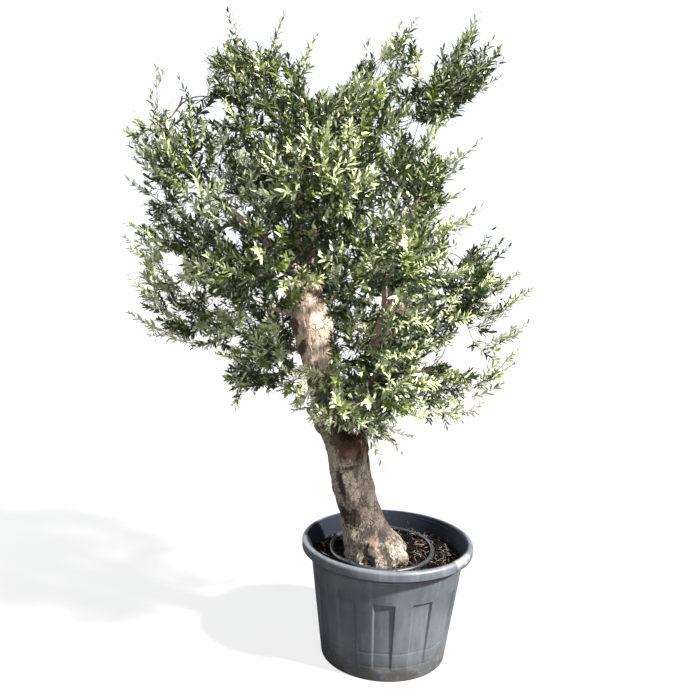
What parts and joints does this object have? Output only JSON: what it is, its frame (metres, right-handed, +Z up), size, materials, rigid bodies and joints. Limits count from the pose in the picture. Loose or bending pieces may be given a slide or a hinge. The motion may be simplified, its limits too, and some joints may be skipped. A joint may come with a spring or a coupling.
{
  "type": "potted olive tree",
  "caption": "Mature olive tree with a leaning trunk that forks at its neck, an open grey-green crown, planted in a round tapering plastic grower's pot.",
  "frame": {"origin": "centre of the pot's flat underside", "axes": "+Z up, -Y towards the viewer's side, +X to the side that the trunk leans away from"},
  "size_m": [1.4286, 1.1673, 2.3366],
  "materials": {
    "pot": "dark grey moulded plastic, dusty satin",
    "soil": "packed dark potting soil with dry leaves and bark chips",
    "hose": "black irrigation pipe, satin",
    "bark": "grey-beige olive bark, fissured, smoother and paler on young wood",
    "foliage": "narrow grey-green leaves, glossy above and silvery below"
  },
  "bodies": {
    "root": {"BoughBack": "bark", "BoughBackLeft": "bark", "BoughFrontLeft": "bark", "BoughLeader": "bark", "BoughLowBackLeft": "bark", "BoughLowBackRight": "bark", "BoughLowFront": "bark", "BoughLowLeft": "bark", "BoughLowRight": "bark", "BoughOuterLeft": "bark", "BoughRightBack": "bark", "BoughRightFront": "bark", "BoughRightHigh": "bark", "BoughRightHighBack": "bark", "BoughRightOuter": "bark", "BoughSprig": "bark", "BoughUpperFront": "bark", "BoughUpperLeft": "bark", "BoughUpperRight": "bark", "DripRing": "hose", "FoliageFarLeft": "foliage", "FoliageHeart": "foliage", "FoliageHighBackLeft": "foliage", "FoliageHighBackRight": "foliage", "FoliageHighFront": "foliage", "FoliageHighLeft": "foliage", "FoliageHighRight": "foliage", "FoliageLowBackLeft": "foliage", "FoliageLowBackRight": "foliage", "FoliageLowFrontLeft": "foliage", "FoliageLowFrontRight": "foliage", "FoliageLowLeft": "foliage", "FoliageLowRight": "foliage", "FoliageMidBack": "foliage", "FoliageMidBackLeft": "foliage", "FoliageMidBackRight": "foliage", "FoliageMidFrontLeft": "foliage", "FoliageMidFrontRight": "foliage", "FoliageMidLeft": "foliage", "FoliageMidRight": "foliage", "FoliageSprig": "foliage", "FoliageTallLeft": "foliage", "FoliageTopBack": "foliage", "FoliageTopCrest": "foliage", "FoliageTopFront": "foliage", "FoliageTopLeft": "foliage", "FoliageTopMiddle": "foliage", "FoliageTopRight": "foliage", "MainLimb": "bark", "Pot": "pot", "RightLimb": "bark", "Soil": "soil", "Trunk": "bark"}
  },
  "joints": []
}
